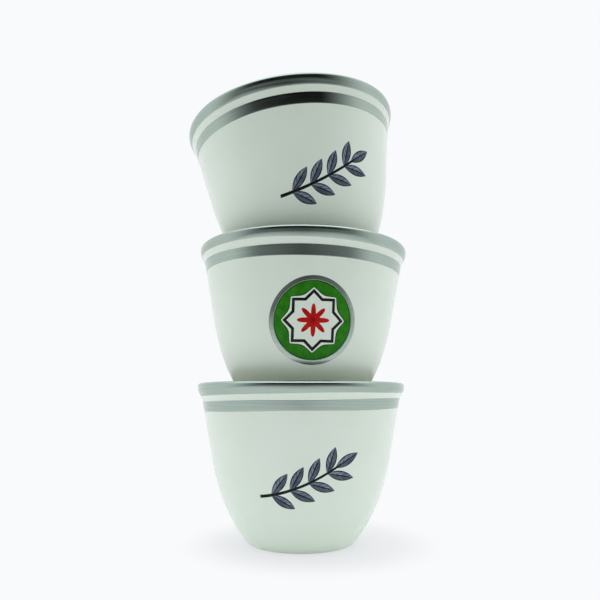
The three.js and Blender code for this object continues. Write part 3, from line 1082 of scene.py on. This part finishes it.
# floor: soft light gets its white bounce and a faint glow; the camera and reflections see the backdrop's white
# and, fading with the distance from the foot, a matt white that takes the shadow
def makeFloor():
    finish, tree = bareMaterial("floor")
    seen = seenRays(tree)[0]
    place = addNode(tree, "ShaderNodeTexCoord").outputs["Object"]
    middle = (axisX + floorPlan["shadowShift"]) * mm, axisY * mm, 0
    away = addNode(tree, "ShaderNodeVectorMath", {0: place, 1: middle}, operation="DISTANCE").outputs["Value"]
    fadeStart, fadeEnd = floorPlan["shadowFade"]
    near = rangeNode(tree, away, fadeStart * mm, fadeEnd * mm, floorPlan["shadowShare"], 0.0)
    bounce = addNode(tree, "ShaderNodeBsdfDiffuse", {"Color": floorPlan["bounce"]})
    lamp = addNode(tree, "ShaderNodeEmission", {"Color": studio["white"], "Strength": floorPlan["glow"]})
    lit = addNode(tree, "ShaderNodeAddShader", {0: bounce.outputs[0], 1: lamp.outputs[0]})
    plain = addNode(tree, "ShaderNodeEmission", {"Color": studio["backdrop"], "Strength": 1.0})
    matt = addNode(tree, "ShaderNodeBsdfDiffuse", {"Color": floorPlan["matt"]})
    mixed = mixShader(tree, seen, lit, mixShader(tree, near, plain, matt))
    addNode(tree, "ShaderNodeOutputMaterial", {"Surface": mixed.outputs[0]})
    angle = np.linspace(0, 2 * np.pi, floorPlan["steps"], endpoint=False)
    points = turned(floorPlan["radius"], 0.0, angle) + (axisX, axisY, 0)
    stageObject("floor", points, np.arange(floorPlan["steps"])[None], finish)


cardPlan = {
    "start": 60.0,
    "radius": 1500.0,
    "rows": 8,
    "steps": 49,
    "lift": 0.5,  # above the floor
    "half": 92.0,  # degrees to each side
    "sideFade": 60.0,
    "high": 2050.0,
    "topFade": 860.0,
    "near": 80.0,  # white up to here
    "reach": 330.0,  # and no longer white this much further on
    "power": 1.6,  # how quickly the white is lost at first
    "spread": 600.0,  # one more reach of white for this much to a side
    "pale": 0.13,  # white that is left on the far floor
    "paleAside": 0.7,  # more of it to the sides
    "paleNear": 0.3,  # and only this share of it nearer by
    "paleFrom": (400.0, 850.0),
    "paleLost": (50.0, 400.0),  # heights of the wall between which it is lost
    "dark": (0.006, 0.006, 0.005, 1),
    "fill": (0.28, 0.28, 0.28, 1),  # what soft light gets from the dark part
}


# share of white on the card: the part of the reach that is left, to a power, with more of it to the sides;
# then a pale rest on the far floor, and white again towards the card's two ends and its top
def cardWhite(tree):
    place = addNode(tree, "ShaderNodeTexCoord").outputs["Object"]
    x, y, z = (partOf(tree, place, i) for i in range(3))
    away = addNode(tree, "ShaderNodeVectorMath", {0: place}, operation="LENGTH").outputs["Value"]
    aside = mathNode(tree, "MULTIPLY", mathNode(tree, "ABSOLUTE", x), 1 / (cardPlan["spread"] * mm))
    further = mathNode(tree, "SUBTRACT", away, cardPlan["near"] * mm)
    gone = mathNode(tree, "MULTIPLY", further, 1 / (cardPlan["reach"] * mm))
    left = mathNode(tree, "SUBTRACT", mathNode(tree, "ADD", aside, 1.0), gone)
    left = mathNode(tree, "POWER", mathNode(tree, "MAXIMUM", left, 0.0), cardPlan["power"])
    lostLow, lostHigh = cardPlan["paleLost"]
    pale = rangeNode(tree, z, lostLow * mm, lostHigh * mm, cardPlan["pale"], 0.0)
    pale = mathNode(tree, "MULTIPLY", pale, mathNode(tree, "MULTIPLY_ADD", aside, cardPlan["paleAside"], 1.0))
    paleStart, paleFull = cardPlan["paleFrom"]
    gain = rangeNode(tree, away, paleStart * mm, paleFull * mm, cardPlan["paleNear"], 1.0)
    pale = mathNode(tree, "MULTIPLY", pale, gain)
    fall = mathNode(tree, "MULTIPLY_ADD", left, 1 - cardPlan["pale"] * cardPlan["paleNear"], pale)
    turn = mathNode(tree, "ARCTAN2", x, mathNode(tree, "MULTIPLY", y, -1.0))
    half, fade = np.radians([cardPlan["half"], cardPlan["sideFade"]])
    sides = rangeNode(tree, mathNode(tree, "ABSOLUTE", turn), half - fade, half)
    ends = mathNode(tree, "MAXIMUM", sides, mathNode(tree, "MINIMUM", fall, 1.0))
    high = cardPlan["high"] * mm
    return mathNode(tree, "MAXIMUM", ends, rangeNode(tree, z, high - cardPlan["topFade"] * mm, high))


# card: a sheet on the floor in front, in rows of even reach, turned up into a wall far off; reflections see its
# dark part as it is, soft light gets a fill from there, and the camera doesn't see it
def makeCard():
    finish, tree = bareMaterial("card")
    white = cardWhite(tree)
    mirrored = mixColour(tree, white, cardPlan["dark"], studio["backdrop"])
    soft = mixColour(tree, white, cardPlan["fill"], studio["white"])
    glow = addNode(tree, "ShaderNodeEmission", {"Color": soft, "Strength": studio["level"]})
    shown = addNode(tree, "ShaderNodeEmission", {"Color": mirrored, "Strength": 1.0})
    mixed = mixShader(tree, seenRays(tree)[0], glow, shown)
    addNode(tree, "ShaderNodeOutputMaterial", {"Surface": mixed.outputs[0]})
    half = np.radians(cardPlan["half"])
    angle = np.linspace(-half, half, cardPlan["steps"]) - np.pi / 2
    far, rows = cardPlan["radius"], cardPlan["rows"]
    reach = np.concatenate([np.linspace(cardPlan["start"], far, rows), [far]])[:, None]
    height = np.concatenate([np.full(rows, cardPlan["lift"]), [cardPlan["high"]]])[:, None]
    grid = turned(reach, height, angle)
    index = np.arange(grid.size // 3).reshape(grid.shape[:2])
    faces = np.stack([index[:-1, :-1], index[:-1, 1:], index[1:, 1:], index[1:, :-1]], -1).reshape(-1, 4)
    card = stageObject("card", grid.reshape(-1, 3), faces, finish)
    card.visible_camera = False


makeWorld()
makeFloor()
makeCard()
bpy.context.scene.view_settings.view_transform = "Standard"
print("studio made")
